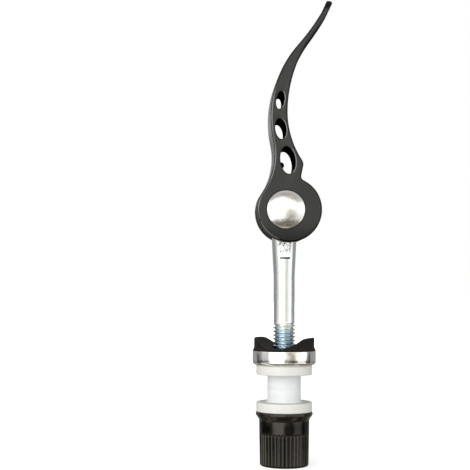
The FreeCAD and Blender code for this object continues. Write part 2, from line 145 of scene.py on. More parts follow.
def new_group(name, kind, inputs, outputs):
    """An empty node group with named sockets, and its two end nodes."""
    tree = bpy.data.node_groups.new(name, kind)
    for label, socket_kind in inputs:
        tree.interface.new_socket(label, in_out="INPUT", socket_type=f"NodeSocket{socket_kind}")
    for label, socket_kind in outputs:
        tree.interface.new_socket(label, in_out="OUTPUT", socket_type=f"NodeSocket{socket_kind}")
    return tree, tree.nodes.new("NodeGroupInput"), tree.nodes.new("NodeGroupOutput")


def new_finish(name, **constants):
    """A material with its shader's constant values set on the shader, and the object's own coordinates."""
    finish = bpy.data.materials.new(name)
    finish.use_nodes = True
    tree = finish.node_tree
    shader = tree.nodes["Principled BSDF"]
    for label, value in constants.items():
        shader.inputs[label.replace("_", " ")].default_value = value
    place = tree.nodes.new("ShaderNodeTexCoord").outputs["Object"]
    return finish, tree, shader, place


def feed(tree, shader, **values):
    """Links values that change over the surface to the shader's inputs of those names."""
    for label, socket in values.items():
        tree.links.new(socket, shader.inputs[label.replace("_", " ")])


def press_relief(tree, shader, height, depth):
    """Raises or sinks the surface's shading by a height mask, with its full depth in metres."""
    bump = add_node(tree, "ShaderNodeBump", {"Strength": 1.0, "Distance": depth, "Height": height})
    feed(tree, shader, Normal=bump.outputs["Normal"])


# The grain of a coated, moulded or plated surface: a fine speckle and a broad, cloudy drift.
grain, grain_in, grain_out = new_group(
    "surface_grain",
    "ShaderNodeTree",
    [("Place", "Vector"), ("Speck Size", "Float"), ("Cloud Size", "Float")],
    [("Speckle", "Float"), ("Cloud", "Float")],
)
for out_name, size_name, detail in (("Speckle", "Speck Size", 3.0), ("Cloud", "Cloud Size", 4.0)):
    scale = reckon(grain, "DIVIDE", 1.0, grain_in.outputs[size_name])
    spots = noise(grain, grain_in.outputs["Place"], scale, detail, roughness=0.6)
    grain.links.new(ease(grain, spots, 0.3, 0.7, kind="LINEAR"), grain_out.inputs[out_name])

# Rub marks: thin scratches drawn out along one direction, with soft smears between them.
SMEAR_SHARE = 0.15
rubs, rubs_in, rubs_out = new_group(
    "rub_marks",
    "ShaderNodeTree",
    [("Place", "Vector"), ("Stretch", "Vector"), ("Mark Size", "Float")],
    [("Marks", "Float"), ("Smear", "Float")],
)
drawn = reckon_vector(rubs, "MULTIPLY", rubs_in.outputs["Place"], rubs_in.outputs["Stretch"])
mark_scale = reckon(rubs, "DIVIDE", 1.0, rubs_in.outputs["Mark Size"])
scratches = noise(rubs, drawn, mark_scale, 5.0, roughness=0.7)
rubs.links.new(ease(rubs, scratches, 0.55, 0.72), rubs_out.inputs["Marks"])
smears = noise(rubs, drawn, times(rubs, mark_scale, SMEAR_SHARE), 3.0, roughness=0.55)
rubs.links.new(ease(rubs, smears, 0.35, 0.65), rubs_out.inputs["Smear"])


def use_grain(tree, place, speck_size, cloud_size):
    """Places the grain in a material and gives its outputs by name."""
    inputs = {"Place": place, "Speck Size": speck_size, "Cloud Size": cloud_size}
    return add_node(tree, "ShaderNodeGroup", inputs, node_tree=grain).outputs


def use_rubs(tree, place, stretch, mark_size):
    """Places the rub marks in a material and gives their outputs by name."""
    inputs = {"Place": place, "Stretch": stretch, "Mark Size": mark_size}
    return add_node(tree, "ShaderNodeGroup", inputs, node_tree=rubs).outputs


zinc, tree, shader, place = new_finish("zinc_plating", Metallic=1.0, IOR=1.5)
zinc_grain = use_grain(tree, place, speck_size=0.25 * MM, cloud_size=3 * MM)
zinc_rubs = use_rubs(tree, place, stretch=(1.0, 1.0, 0.06), mark_size=0.35 * MM)
at = parts_of(tree, place)
above_thread = ease(tree, at["Z"], thread_top - BLUE_FADE, thread_top)
plated = blend_colours(tree, above_thread, ZINC_BLUE, ZINC_BRIGHT)
dull = blend_colours(tree, times(tree, zinc_grain["Cloud"], above_thread), plated, ZINC_DULL)
feed(tree, shader, Roughness=spread(tree, zinc_rubs["Smear"], 0.2, 0.34))
# the pressed flats keep the die's rough skin just under the eye
off_middle = reckon(tree, "ABSOLUTE", at["Y"])
on_flat = ease(tree, off_middle, EYE_HALF - 0.1 * MM, EYE_HALF - 0.01 * MM)
pressed = times(tree, on_flat, ease(tree, at["Z"], *PRESSED_SKIN))
pitted = noise(tree, place, 1 / PIT_SIZE, 3.0, roughness=0.6)
creases = reckon(tree, "ABSOLUTE", reckon(tree, "SUBTRACT", pitted, 0.5))
pits = times(tree, ease(tree, creases, 0.0, 0.06, 1.0, 0.0), pressed)
worn = blend_colours(tree, times(tree, pits, 0.4), dull, PIT_GREY)
# painted shade: the slope where the flats run out is coloured dark, for the shadow line of the step
on_slope = times(tree, band(tree, at["Z"], SLOPE_FOOT, SLOPE_TOP, SLOPE_SOFT), on_flat)
feed(tree, shader, Base_Color=blend_colours(tree, on_slope, worn, STEP_SHADE))
skin_height = reckon(tree, "MULTIPLY_ADD", zinc_grain["Speckle"], 0.06, times(tree, pits, -1.0))
skin_height = reckon(tree, "MULTIPLY_ADD", zinc_rubs["Marks"], -0.05, skin_height)
press_relief(tree, shader, skin_height, depth=0.09 * MM)

# The rolled thread as one helical skin: the columns run round the bolt, the rows along it.
END_SLIVER = 1e-5
thread, thread_in, thread_out = new_group(
    "rolled_thread",
    "GeometryNodeTree",
    [("Columns", "Int"), ("Rows", "Int"), ("Start", "Float"), ("Length", "Float"), ("Pitch", "Float"),
     ("Crest", "Float"), ("Root", "Float"), ("Shank", "Float"), ("Runout", "Float"),
     ("End Radius", "Float")],
    [("Geometry", "Geometry")],
)
size_of = thread_in.outputs
sheet = add_node(thread, "GeometryNodeMeshGrid", {
    "Size X": 1.0, "Size Y": 1.0, "Vertices X": size_of["Columns"], "Vertices Y": size_of["Rows"],
})
spot = parts_of(thread, thread.nodes.new("GeometryNodeInputPosition").outputs[0])
turn = reckon(thread, "ADD", spot["X"], 0.5)
climb = reckon(thread, "ADD", spot["Y"], 0.5)
along = times(thread, climb, size_of["Length"])
pitches = reckon(thread, "DIVIDE", along, size_of["Pitch"])
phase = reckon(thread, "FRACT", reckon(thread, "SUBTRACT", pitches, turn))
flank = reckon(thread, "ABSOLUTE", reckon(thread, "MULTIPLY_ADD", phase, 2.0, -1.0))
ridge = ease(thread, flank, 0.06, 0.94, size_of["Crest"], size_of["Root"])
fade_from = reckon(thread, "SUBTRACT", size_of["Length"], size_of["Runout"])
runout = ease(thread, along, fade_from, size_of["Length"])
ridge_left = times(thread, ridge, reckon(thread, "SUBTRACT", 1.0, runout))
rolled = reckon(thread, "MULTIPLY_ADD", size_of["Shank"], runout, ridge_left)
bevelled = reckon(thread, "MINIMUM", rolled, reckon(thread, "ADD", along, size_of["End Radius"]))
past_foot = reckon(thread, "GREATER_THAN", climb, END_SLIVER)
short_of_top = reckon(thread, "LESS_THAN", climb, 1 - END_SLIVER)
radius = times(thread, bevelled, past_foot, short_of_top)
angle = times(thread, turn, math.tau)
wound_place = add_node(thread, "ShaderNodeCombineXYZ", {
    "X": times(thread, radius, reckon(thread, "COSINE", angle)),
    "Y": times(thread, radius, reckon(thread, "SINE", angle)),
    "Z": reckon(thread, "ADD", along, size_of["Start"]),
}).outputs[0]
wound = add_node(thread, "GeometryNodeSetPosition", {
    "Geometry": sheet.outputs["Mesh"], "Position": wound_place,
})
closed = add_node(thread, "GeometryNodeMergeByDistance", {"Geometry": wound.outputs[0], "Distance": TOUCH})


def end_tree(tree, out, geometry, finish):
    """Ends a geometry node tree with plain geometry in its finish."""
    single = add_node(tree, "GeometryNodeRealizeInstances", {"Geometry": geometry})
    finished = add_node(tree, "GeometryNodeSetMaterial", {"Geometry": single.outputs[0], "Material": finish})
    tree.links.new(finished.outputs[0], out.inputs["Geometry"])


end_tree(thread, thread_out, closed.outputs[0], zinc)


def grow(piece, tree, sizes):
    """Runs a geometry node tree on a piece with its sizes, and keeps the result as its plain mesh."""
    modifier = piece.modifiers.new(tree.name, "NODES")
    modifier.node_group = tree
    for item in tree.interface.items_tree:
        if item.in_out == "INPUT" and item.name in sizes:
            modifier[item.identifier] = sizes[item.name]
    bpy.context.view_layer.update()
    grown = bpy.data.meshes.new_from_object(piece.evaluated_get(bpy.context.evaluated_depsgraph_get()))
    piece.modifiers.clear()
    piece.data = grown
    grown.name = piece.name


def show(thing):
    bpy.context.scene.collection.objects.link(thing)
    return thing


def new_piece(name, skin):
    """An object in the scene with the skin as its mesh."""
    mesh = bpy.data.meshes.new(name)
    skin.to_mesh(mesh)
    skin.free()
    return show(bpy.data.objects.new(name, mesh))


def shade_round(piece, crease):
    """Smooth shading, broken where the faces meet at more than the crease's degrees."""
    piece.data.shade_smooth()
    piece.data.set_sharp_from_angle(angle=math.radians(crease))


def dress(piece, finish, crease):
    piece.data.materials.append(finish)
    shade_round(piece, crease)


def cad_copy(node):
    """The node's triangles in a new bmesh, merged into one skin."""
    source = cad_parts[node].data
    triangles = bpy.data.meshes.new(node)
    triangles.from_pydata([v.co for v in source.vertices], [], [p.vertices for p in source.polygons])
    skin = bmesh.new()
    skin.from_mesh(triangles)
    bpy.data.meshes.remove(triangles)
    bmesh.ops.remove_doubles(skin, verts=skin.verts, dist=TOUCH)
    return skin


bolt_skin = cad_copy("eye_bolt")
bmesh.ops.bisect_plane(
    bolt_skin,
    geom=bolt_skin.verts[:] + bolt_skin.edges[:] + bolt_skin.faces[:],
    plane_co=(0, 0, shank_start),
    plane_no=(0, 0, 1),
    clear_inner=True,
)
bmesh.ops.holes_fill(bolt_skin, edges=[e for e in bolt_skin.edges if e.is_boundary], sides=0)
threaded_end = new_piece("threaded_end", bmesh.new())
thread_span = shank_start + THREAD_OVERLAP - bolt_foot
grow(threaded_end, thread, {
    "Columns": THREAD_COLUMNS + 1,
    "Rows": round(thread_span / THREAD_PITCH * ROWS_A_TURN) + 1,
    "Start": bolt_foot,
    "Length": thread_span,
    "Pitch": THREAD_PITCH,
    "Crest": THREAD_CREST,
    "Root": THREAD_ROOT,
    "Shank": SHANK_RADIUS - THREAD_SINK,
    "Runout": THREAD_RUNOUT,
    "End Radius": BOLT_END_RADIUS,
})
bolt_skin.from_mesh(threaded_end.data)
bpy.data.objects.remove(threaded_end)
plated_bolt = new_piece("plated_bolt", bolt_skin)
dress(plated_bolt, zinc, crease=32)
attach(plated_bolt, "bolt")
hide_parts("eye_bolt")

# Cam lever
# A forged aluminium lever with a satin black coating: a round eccentric head, forked for the bolt's eye, and
# an S-shaped arm with three oval holes. Its edges are broken, and a forging pip is left in the large hole.
PIVOT_HEIGHT = 68.6 * MM
LEVER_FACE = 6 * MM
ARM_START = 78 * MM
# each hole's middle sideways of and above the pivot, its length, width and tilt
HOLES = (
    (-1.5, 28.95, 4.6, 2.1, 81.0),
    (-1.38, 21.35, 5.35, 2.85, 98.0),
    (0.52, 13.05, 7.2, 3.95, 98.0),
)
HOLE_SLACK = 1.01
HOLE_EDGE_BREAK = 0.3 * MM
HOLE_EDGE_STEPS = 4
TIP_TURN_START = 121.6 * MM
TIP_TURN = 0.42 * MM
TIP_TURN_CURVE = 1.5
PIP_RADIUS = 0.85 * MM
PIP_DEPTH = 5 * MM
PIP_PLACE = (-1.05 * MM, 0, 80.6 * MM)
PIP_COLUMNS = 32
COAT_BLACK = (0.006, 0.006, 0.0052, 1)
COAT_FADED = (0.010, 0.010, 0.0093, 1)
COAT_SPECK = (0.017, 0.017, 0.0155, 1)
# near black of the painted shade in the holes and on the broken edges
PAINTED_SHADE_BLACK = (0.002, 0.002, 0.002, 1)
COAT_GLINT = 0.4
# less glint on the head's lower part and on the tip's sides, as painted shade
LOW_HEAD_GLINT = 0.13
HEAD_SHADE_FADE = (60.5 * MM, 66 * MM)
TIP_GLINT_LOSS = 0.26
TIP_FADE = (121.4 * MM, 122 * MM)
POLISH_WEIGHT = 0.75

coating, tree, shader, place = new_finish(
    "satin_black_coating", IOR=1.5, Specular_IOR_Level=COAT_GLINT, Coat_IOR=2.9, Coat_Roughness=0.15)
coat_grain = use_grain(tree, place, speck_size=0.22 * MM, cloud_size=4 * MM)
coat_rubs = use_rubs(tree, place, stretch=(1.0, 0.3, 0.4), mark_size=0.8 * MM)
black = blend_colours(tree, coat_grain["Cloud"], COAT_BLACK, COAT_FADED)
speckled = blend_colours(tree, coat_grain["Speckle"], black, COAT_SPECK)
on_wall, on_edge, on_side, on_polish = (
    add_node(tree, "ShaderNodeAttribute", attribute_name=mark).outputs["Fac"]
    for mark in ("matt_and_shade", "broken_edge", "side_face", "polished")
)
# painted shade: the coat's colour goes near black on the holes' walls that face away from the light and on
# all broken edges, for the shade in the holes and the dark outlines along the edges
painted_shade = reckon(tree, "MAXIMUM", ease(tree, on_wall, 0.6, 0.9), on_edge)
feed(tree, shader, Base_Color=blend_colours(tree, painted_shade, speckled, PAINTED_SHADE_BLACK))
# the holes' walls and the arm's underside are matt and lose their glint, and the tip's sides lose glint too,
# as painted shade; the broken edges get a polish, partly the finger's wear and partly a painted highlight,
# and the head under the pin gets less glint, darker towards the bottom, as painted shade
satin = spread(tree, coat_rubs["Smear"], 0.4, 0.5)
feed(tree, shader, Roughness=reckon(tree, "MAXIMUM", satin, times(tree, on_wall, 0.9)))
feed(tree, shader, Coat_Weight=times(tree, ease(tree, on_polish, 0.35, 0.65), POLISH_WEIGHT))
up = parts_of(tree, place)["Z"]
on_tip = times(tree, ease(tree, up, *TIP_FADE), on_side)
shaded_head_glint = ease(tree, up, *HEAD_SHADE_FADE, LOW_HEAD_GLINT, COAT_GLINT)
glint = reckon(tree, "MULTIPLY_ADD", on_tip, -TIP_GLINT_LOSS, shaded_head_glint)
feed(tree, shader, Specular_IOR_Level=times(tree, glint, ease(tree, on_wall, 0.0, 0.4, 1.0, 0.0)))
press_relief(tree, shader, coat_grain["Speckle"], depth=0.012 * MM)


def inside_a_hole(spot, margin=0.0):
    """Whether a point lies within one of the lever's oval holes, or within a margin in millimetres of it."""
    for side, rise, length, width, tilt in HOLES:
        across = spot.x / MM - side
        up = (spot.z - PIVOT_HEIGHT) / MM - rise
        turn = math.radians(tilt)
        along = (across * math.cos(turn) + up * math.sin(turn)) / (length / 2 + margin)
        beside = (up * math.cos(turn) - across * math.sin(turn)) / (width / 2 + margin)
        if along ** 2 + beside ** 2 < HOLE_SLACK:
            return True
    return False


def on_a_side(spot):
    """Whether a point lies on one of the lever's two flat sides."""
    return abs(abs(spot.y) - LEVER_FACE) < TOUCH


lever_skin = cad_copy("cam_lever")
bmesh.ops.dissolve_limit(
    lever_skin, angle_limit=math.radians(0.2), use_dissolve_boundaries=False,
    verts=lever_skin.verts, edges=lever_skin.edges,
)
hole_edges = [
    edge for edge in lever_skin.edges
    if all(on_a_side(v.co) and v.co.z > ARM_START for v in edge.verts)
    and edge.calc_face_angle(0) > math.radians(60)
]
bmesh.ops.bevel(
    lever_skin, geom=hole_edges, offset=HOLE_EDGE_BREAK, segments=HOLE_EDGE_STEPS, profile=0.5,
    affect="EDGES", clamp_overlap=False,
)
bmesh.ops.create_cone(
    lever_skin, cap_ends=True, segments=PIP_COLUMNS, radius1=PIP_RADIUS, radius2=PIP_RADIUS, depth=PIP_DEPTH,
    matrix=Matrix.Translation(PIP_PLACE) @ Matrix.Rotation(math.radians(90), 4, "X"),
)
tip_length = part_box("cam_lever")[1].z - TIP_TURN_START
for vertex in lever_skin.verts:
    if vertex.co.z > TIP_TURN_START:
        vertex.co.x -= TIP_TURN * ((vertex.co.z - TIP_TURN_START) / tip_length) ** TIP_TURN_CURVE

# Marks on the lever's faces and corners for its finish and for its painted shade and highlights. A face that
# runs across the lever has little of its normal along the pin, and a flat side has nearly all of it there.
ACROSS = 0.1
FLAT = 0.99
WALL_UPWARD = 0.625
UNDERSIDE_MATT = 0.5
UNDERSIDE_START = 0.1
UNDERSIDE_FULL = 0.6
POLISH_END = 106 * MM
POLISH_FADE = 8 * MM
HOLE_POLISH = 0.52
HOLE_POLISH_FACING = 0.15
TIP_POLISH = 0.45
EDGE_FACING = 0.2


def share_between(value, none, full):
    """How far a value has come from where there is none of a thing to where there is all of it."""
    return min(1.0, max(0.0, (value - none) / (full - none)))


matt_and_shade, broken_edge, side_face = (
    lever_skin.faces.layers.float.new(mark) for mark in ("matt_and_shade", "broken_edge", "side_face")
)
polished = lever_skin.loops.layers.float.new("polished")
lever_skin.normal_update()
for face in lever_skin.faces:
    middle = face.calc_center_median()
    along_pin = abs(face.normal.y)
    # a hole's wall is marked matt and for painted shade, the more the further it faces down away from the
    # light; the arm's underside is marked at up to half strength, which makes it matt without glint, a
    # painted shade, but keeps its colour
    if inside_a_hole(middle):
        face[matt_and_shade] = share_between(face.normal.z, WALL_UPWARD, 0.0)
    elif middle.z > ARM_START and face.normal.x > 0 and along_pin < ACROSS:
        underneath = share_between(-face.normal.z, UNDERSIDE_START, UNDERSIDE_FULL)
        face[matt_and_shade] = UNDERSIDE_MATT * underneath
    face[side_face] = float(along_pin > ACROSS)
    face[broken_edge] = float(ACROSS < along_pin < FLAT)
    if not face[broken_edge]:
        continue
    # painted highlight: the polish is laid only on edges that face the light: the holes' edges that face
    # left, the tip's edges that face right, and the rims on the flat sides of the edges that face left, below
    # the tip
    by_a_hole = inside_a_hole(middle, HOLE_EDGE_BREAK / MM)
    for loop in face.loops:
        height = loop.vert.co.z
        if by_a_hole:
            loop[polished] = HOLE_POLISH * (face.normal.x < -HOLE_POLISH_FACING)
        elif face.normal.x > EDGE_FACING:
            loop[polished] = TIP_POLISH * share_between(height, POLISH_END, POLISH_END + POLISH_FADE)
        elif face.normal.x < -EDGE_FACING and on_a_side(loop.vert.co):
            loop[polished] = share_between(height, POLISH_END, POLISH_END - POLISH_FADE)
coated_lever = new_piece("coated_lever", lever_skin)
dress(coated_lever, coating, crease=24)
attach(coated_lever, "lever")
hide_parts("cam_lever")

# Pivot pin
# A turned steel cross pin with a low polished dome, chrome plated. It sits in a ring-shaped seat in the
# lever's front and its tail is peened over at the back.
PIN_COLUMNS = 96
ROUND_STEPS = 5
DOME_HALF = 5.0
DOME_RISE = 1.6
DOME_STEPS = 16
DOME_EDGE = 0.15
DOME_SEAT = 0.8
PIN_HALF = 3.0
TAIL_HALF = 4.0
TAIL_SEAT = 12.2
TAIL_RIM = 12.5
TAIL_FLAT_HALF = 2.6
TAIL_END = 13.3
CHROME_BRIGHT = (0.80, 0.80, 0.78, 1)
CHROME_DULL = (0.72, 0.71, 0.68, 1)
# colour of the painted reflection on the dome's lower side
LOW_SIDE_REFLECTION = (0.33, 0.31, 0.27, 1)
SMUDGE_SIZE = 0.7 * MM
LOW_SIDE_RISE = (65.2 * MM, 67.2 * MM)
DOME_RIM_REACH = (4.35 * MM, 4.7 * MM)


def round_outline(corners):
    """An outline of (radius, height, rounding) corners in millimetres, with arcs for rounded corners."""
    points = []
    count = len(corners)
    for i, (across, up, rounding) in enumerate(corners):
        corner = Vector((across, up))
        if not rounding:
            points.append(corner)
            continue
        back = (Vector(corners[i - 1][:2]) - corner).normalized()
        ahead = (Vector(corners[(i + 1) % count][:2]) - corner).normalized()
        half = math.acos(max(-1, min(1, back.dot(ahead)))) / 2
        reach = rounding / math.tan(half)
        centre = corner + (back + ahead).normalized() * (rounding / math.sin(half))
        first = corner + back * reach - centre
        last = corner + ahead * reach - centre
        sweep = first.angle_signed(last)
        for step in range(ROUND_STEPS + 1):
            share = -sweep * step / ROUND_STEPS
            turned = Vector((
                first.x * math.cos(share) - first.y * math.sin(share),
                first.x * math.sin(share) + first.y * math.cos(share),
            ))
            points.append(centre + turned)
    return points


def turned_skin(points, columns, closed):
    """A turned skin about the upright axis from (radius, height) points in millimetres. A closed outline
    makes a ring, an open one starts and ends on the axis."""
    skin = bmesh.new()
    rings = []
    for point in points:
        if not point.x:
            rings.append([skin.verts.new((0, 0, point.y * MM))])
            continue
        ring = []
        for column in range(columns):
            angle = math.tau * column / columns
            ring.append(skin.verts.new((
                point.x * MM * math.cos(angle), point.x * MM * math.sin(angle), point.y * MM,
            )))
        rings.append(ring)
    pairs = list(zip(rings, rings[1:]))
    if closed:
        pairs.append((rings[-1], rings[0]))
    for below, above in pairs:
        for column in range(columns):
            after = (column + 1) % columns
            if len(below) == 1:
                skin.faces.new((below[0], above[after], above[column]))
            elif len(above) == 1:
                skin.faces.new((below[column], below[after], above[0]))
            else:
                skin.faces.new((below[column], below[after], above[after], above[column]))
    bmesh.ops.recalc_face_normals(skin, faces=skin.faces)
    return skin


pin_chrome, tree, shader, place = new_finish("polished_chrome", Metallic=1.0, IOR=1.5)
pin_grain = use_grain(tree, place, speck_size=0.3 * MM, cloud_size=2.5 * MM)
pin_rubs = use_rubs(tree, place, stretch=(0.35, 1.0, 1.0), mark_size=0.7 * MM)
bright = blend_colours(tree, pin_grain["Cloud"], CHROME_BRIGHT, CHROME_DULL)
# painted reflection: the dome's lower side, within its rim, is darkened warm in soft patches, for the dark
# table it mirrors
smudges = ease(tree, noise(tree, place, 1 / SMUDGE_SIZE, 4.0, roughness=0.65), 0.42, 0.6)
low_side = ease(tree, parts_of(tree, place)["Z"], *LOW_SIDE_RISE, 0.75, 0.0)
front_place = reckon_vector(tree, "MULTIPLY", place, (1, 0, 1))
off_pivot = reckon_vector(tree, "DISTANCE", front_place, (0, 0, PIVOT_HEIGHT), "Value")
painted_reflection = times(tree, smudges, low_side, ease(tree, off_pivot, *DOME_RIM_REACH, 1.0, 0.0))
feed(tree, shader, Base_Color=blend_colours(tree, painted_reflection, bright, LOW_SIDE_REFLECTION))
feed(tree, shader, Roughness=spread(tree, pin_rubs["Smear"], 0.19, 0.31))
rubbed = reckon(tree, "MULTIPLY_ADD", pin_rubs["Marks"], -0.4, pin_grain["Cloud"])
press_relief(tree, shader, rubbed, depth=0.014 * MM)

# the outline's heights run from the dome's edge towards the tail
dome_radius = (DOME_HALF ** 2 + DOME_RISE ** 2) / (2 * DOME_RISE)
dome_sweep = math.asin(DOME_HALF / dome_radius)
pin_outline = []
for step in range(DOME_STEPS + 1):
    slope = dome_sweep * step / DOME_STEPS
    sag = dome_radius * (1 - math.cos(slope))
    pin_outline.append((dome_radius * math.sin(slope), sag - DOME_RISE, 0))
pin_outline += [
    (DOME_HALF, DOME_EDGE, 0), (DOME_HALF, DOME_SEAT, 0), (PIN_HALF, DOME_SEAT, 0), (PIN_HALF, TAIL_SEAT, 0),
    (TAIL_HALF, TAIL_SEAT, 0), (TAIL_HALF, TAIL_RIM, 0.12), (TAIL_FLAT_HALF, TAIL_END, 0.4), (0, TAIL_END, 0),
]
pin_skin = turned_skin(round_outline(pin_outline), PIN_COLUMNS, closed=False)
dome_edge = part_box("pivot_pin")[0].y + DOME_RISE * MM
for vertex in pin_skin.verts:
    x, y, z = vertex.co
    vertex.co = (x, dome_edge + z, PIVOT_HEIGHT - y)
bmesh.ops.recalc_face_normals(pin_skin, faces=pin_skin.faces)
polished_pin = new_piece("polished_pin", pin_skin)
dress(polished_pin, pin_chrome, crease=32)
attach(polished_pin, "lever")
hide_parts("pivot_pin")

# Cam saddle
# A moulded black washer with two horns. The cam rolls in the valley between them, and the washer's spigot
# sits loose in the steel cup, so it can turn to meet the cam.
MOULD_GREEN = (0.008, 0.0085, 0.0072, 1)
MOULD_BROWN = (0.017, 0.013, 0.011, 1)
MOULD_RUBBED = (0.026, 0.022, 0.020, 1)

moulded, tree, shader, place = new_finish("moulded_black", Specular_IOR_Level=0.12)
mould_grain = use_grain(tree, place, speck_size=0.16 * MM, cloud_size=2.2 * MM)
mould_rubs = use_rubs(tree, place, stretch=(0.4, 0.4, 1.0), mark_size=0.5 * MM)
tint = blend_colours(tree, mould_grain["Cloud"], MOULD_GREEN, MOULD_BROWN)
feed(tree, shader, Base_Color=blend_colours(tree, mould_rubs["Marks"], tint, MOULD_RUBBED))
feed(tree, shader, Roughness=spread(tree, mould_grain["Cloud"], 0.6, 0.75))
press_relief(tree, shader, mould_grain["Speckle"], depth=0.008 * MM)

moulded_saddle = new_piece("moulded_saddle", cad_copy("cam_saddle"))
dress(moulded_saddle, moulded, crease=28)
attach(moulded_saddle, "saddle")
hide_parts("cam_saddle")

# Thrust cup
# A cup drawn from bright steel sheet and chrome plated. Its floor presses on the bush and its wall holds the
# saddle washer; the bottom corner is rounded by the drawing.
CUP_COLUMNS = 128
CUP_HALF = 8.5
CUP_INSIDE = 7.6
CUP_BORE = 3.25
CUP_HEIGHT = 3.9
CUP_FLOOR = 1.2
CUP_BRIGHT = (0.84, 0.82, 0.77, 1)
CUP_DULL = (0.74, 0.73, 0.71, 1)

cup_chrome, tree, shader, place = new_finish("drawn_bright_steel", Metallic=1.0, IOR=1.5)
cup_grain = use_grain(tree, place, speck_size=0.3 * MM, cloud_size=3 * MM)
cup_rubs = use_rubs(tree, place, stretch=(1.0, 1.0, 0.25), mark_size=0.6 * MM)
feed(tree, shader, Base_Color=blend_colours(tree, cup_grain["Cloud"], CUP_BRIGHT, CUP_DULL))
feed(tree, shader, Roughness=spread(tree, cup_rubs["Smear"], 0.06, 0.16))
scuffed = reckon(tree, "MULTIPLY_ADD", cup_rubs["Marks"], -0.6, cup_grain["Cloud"])
press_relief(tree, shader, scuffed, depth=0.008 * MM)

cup_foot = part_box("thrust_cup")[0].z / MM
cup_rim = cup_foot + CUP_HEIGHT
cup_floor = cup_foot + CUP_FLOOR
cup_skin = turned_skin(round_outline([
    (CUP_BORE, cup_foot, 0.15), (CUP_HALF, cup_foot, 1.0), (CUP_HALF, cup_rim, 0.2),
    (CUP_INSIDE, cup_rim, 0.15), (CUP_INSIDE, cup_floor, 0.3), (CUP_BORE, cup_floor, 0.15),
]), CUP_COLUMNS, closed=True)
drawn_cup = new_piece("drawn_cup", cup_skin)
dress(drawn_cup, cup_chrome, crease=32)
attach(drawn_cup, "cup")
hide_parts("thrust_cup")

# Flanged bushes
# Two alike bushes moulded in white nylon, set neck to neck on the bolt. Their necks sit in the ears of the
# frame's lug and their flanges grip it.
BUSH_COLUMNS = 96
BUSH_BORE = 3.2
FLANGE_HALF = 7.5
FLANGE_DEPTH = 2.6
NECK_HALF = 4.5
BUSH_LENGTH = 6.27
FLANGE_START = (4.7 * MM, 5.6 * MM)
LUG_FACE = (3.7 * MM, 3.9 * MM)
SHADE_REACH = (4.5 * MM, 7.4 * MM)
NECK_WHITE = (0.88, 0.90, 0.89, 1)
NECK_CLOUD = (0.84, 0.86, 0.85, 1)
FLANGE_CREAM = (0.82, 0.81, 0.76, 1)
FLANGE_AGED = (0.77, 0.765, 0.71, 1)
NYLON_RUBBED = (0.79, 0.79, 0.75, 1)
# colour of the painted shade between the flanges
FLANGE_SHADE = (0.26, 0.27, 0.26, 1)
bush_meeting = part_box("upper_bush")[0].z

nylon, tree, shader, place = new_finish(
    "white_nylon", Subsurface_Weight=0.15, Subsurface_Scale=0.0008, Subsurface_Radius=(1, 1, 1))
nylon_grain = use_grain(tree, place, speck_size=0.3 * MM, cloud_size=3.5 * MM)
nylon_rubs = use_rubs(tree, place, stretch=(1.0, 1.0, 0.3), mark_size=0.5 * MM)
off_axis = reckon_vector(tree, "LENGTH", reckon_vector(tree, "MULTIPLY", place, (1, 1, 0)), result="Value")
on_flange = ease(tree, off_axis, *FLANGE_START)
fresh = blend_colours(tree, nylon_grain["Cloud"], NECK_WHITE, NECK_CLOUD)
aged = blend_colours(tree, nylon_grain["Cloud"], FLANGE_CREAM, FLANGE_AGED)
cream = blend_colours(tree, on_flange, fresh, aged)
# painted shade: the flanges' faces towards the lug are darkened between the two flanges, most of it by the
# necks
off_meeting = reckon(tree, "SUBTRACT", parts_of(tree, place)["Z"], bush_meeting)
lug_side = ease(tree, reckon(tree, "ABSOLUTE", off_meeting), *LUG_FACE, 1.0, 0.0)
near_neck = ease(tree, off_axis, *SHADE_REACH, 0.85, 0.45)
shaded_nylon = blend_colours(tree, times(tree, lug_side, near_neck, on_flange), cream, FLANGE_SHADE)
feed(tree, shader, Base_Color=blend_colours(tree, nylon_rubs["Marks"], shaded_nylon, NYLON_RUBBED))
feed(tree, shader, Roughness=spread(tree, nylon_grain["Cloud"], 0.38, 0.52))
worn = reckon(tree, "MULTIPLY_ADD", nylon_rubs["Marks"], -0.5, nylon_grain["Speckle"])
press_relief(tree, shader, worn, depth=0.012 * MM)

for level, corner, way in (("upper", 1, -1), ("lower", 0, 1)):
    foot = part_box(f"{level}_bush")[corner].z / MM
    flange = foot + way * FLANGE_DEPTH
    neck_end = foot + way * BUSH_LENGTH
    bush_skin = turned_skin(round_outline([
        (BUSH_BORE, foot, 0.15), (FLANGE_HALF, foot, 0.25), (FLANGE_HALF, flange, 0.25),
        (NECK_HALF, flange, 0.12), (NECK_HALF, neck_end, 0.08), (BUSH_BORE, neck_end, 0.15),
    ]), BUSH_COLUMNS, closed=True)
    bush = new_piece(f"{level}_nylon_bush", bush_skin)
    dress(bush, nylon, crease=32)
    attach(bush, f"{level}_bush")
    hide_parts(f"{level}_bush")

# Threaded insert
# A machined steel hexagon inside the nut's shell, which the shell turns on the thread. It lies out of sight
# under the lower bush.
INSERT_BRIGHT = (0.66, 0.67, 0.69, 1)
INSERT_DULL = (0.55, 0.56, 0.58, 1)

machined, tree, shader, place = new_finish("machined_steel", Metallic=1.0, IOR=1.5)
insert_grain = use_grain(tree, place, speck_size=0.2 * MM, cloud_size=2 * MM)
insert_rubs = use_rubs(tree, place, stretch=(1.0, 1.0, 0.08), mark_size=0.4 * MM)
feed(tree, shader, Base_Color=blend_colours(tree, insert_grain["Cloud"], INSERT_BRIGHT, INSERT_DULL))
feed(tree, shader, Roughness=spread(tree, insert_rubs["Smear"], 0.28, 0.42))
press_relief(tree, shader, insert_rubs["Marks"], depth=0.01 * MM)
insert_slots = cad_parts["nut_insert"].data.materials
insert_slots.clear()
insert_slots.append(machined)

